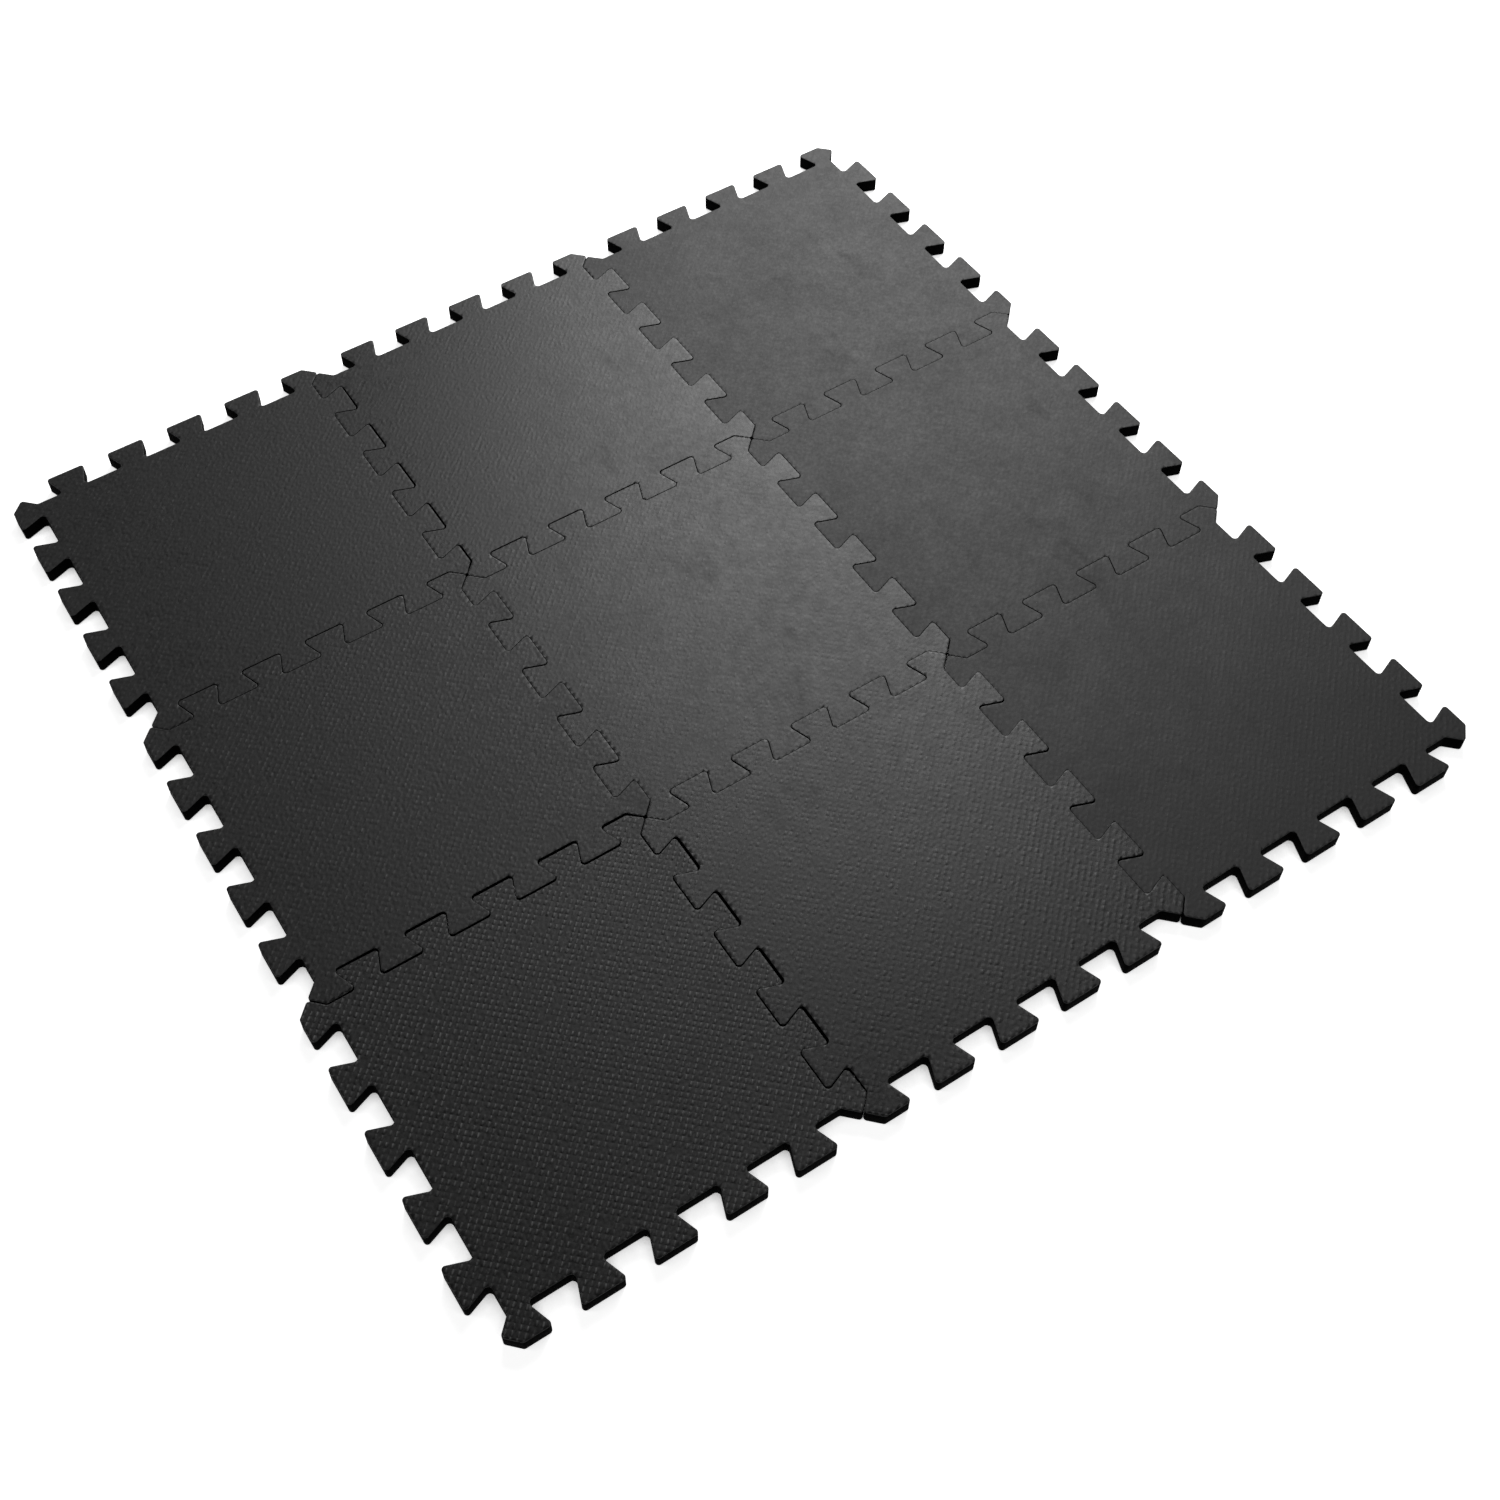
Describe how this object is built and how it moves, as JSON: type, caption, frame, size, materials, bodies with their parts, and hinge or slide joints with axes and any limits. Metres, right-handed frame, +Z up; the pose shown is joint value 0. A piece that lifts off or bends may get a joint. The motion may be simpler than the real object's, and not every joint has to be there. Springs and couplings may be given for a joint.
{
  "type": "interlocking foam floor mat",
  "caption": "Square floor mat of foam puzzle tiles that lock edge to edge with dovetail tabs and lift apart, for exercise or martial arts.",
  "frame": {"origin": "centre of the mat's underside, which is the middle of the centre tile's underside", "axes": "+Z up out of the embossed face, +X along the front edge from the left tile to the right tile, +Y from the front row of tiles to the back row"},
  "size_m": [0.923, 0.923, 0.014],
  "materials": {
    "foam": "matt black EVA foam with a finely embossed non-slip skin, cut edges darker"
  },
  "bodies": {
    "front_left_tile": {"front_left_tile": "foam"},
    "front_centre_tile": {"front_centre_tile": "foam"},
    "front_right_tile": {"front_right_tile": "foam"},
    "middle_left_tile": {"middle_left_tile": "foam"},
    "centre_tile": {"centre_tile": "foam"},
    "middle_right_tile": {"middle_right_tile": "foam"},
    "back_left_tile": {"back_left_tile": "foam"},
    "back_centre_tile": {"back_centre_tile": "foam"},
    "back_right_tile": {"back_right_tile": "foam"}
  },
  "joints": [
    {"name": "front_left_lift", "type": "slide", "parent": "centre_tile", "child": "front_left_tile", "axis": [0, 0, 1], "range_m": [0, 0.05]},
    {"name": "front_centre_lift", "type": "slide", "parent": "centre_tile", "child": "front_centre_tile", "axis": [0, 0, 1], "range_m": [0, 0.05]},
    {"name": "front_right_lift", "type": "slide", "parent": "centre_tile", "child": "front_right_tile", "axis": [0, 0, 1], "range_m": [0, 0.05]},
    {"name": "middle_left_lift", "type": "slide", "parent": "centre_tile", "child": "middle_left_tile", "axis": [0, 0, 1], "range_m": [0, 0.05]},
    {"name": "middle_right_lift", "type": "slide", "parent": "centre_tile", "child": "middle_right_tile", "axis": [0, 0, 1], "range_m": [0, 0.05]},
    {"name": "back_left_lift", "type": "slide", "parent": "centre_tile", "child": "back_left_tile", "axis": [0, 0, 1], "range_m": [0, 0.05]},
    {"name": "back_centre_lift", "type": "slide", "parent": "centre_tile", "child": "back_centre_tile", "axis": [0, 0, 1], "range_m": [0, 0.05]},
    {"name": "back_right_lift", "type": "slide", "parent": "centre_tile", "child": "back_right_tile", "axis": [0, 0, 1], "range_m": [0, 0.05]}
  ]
}
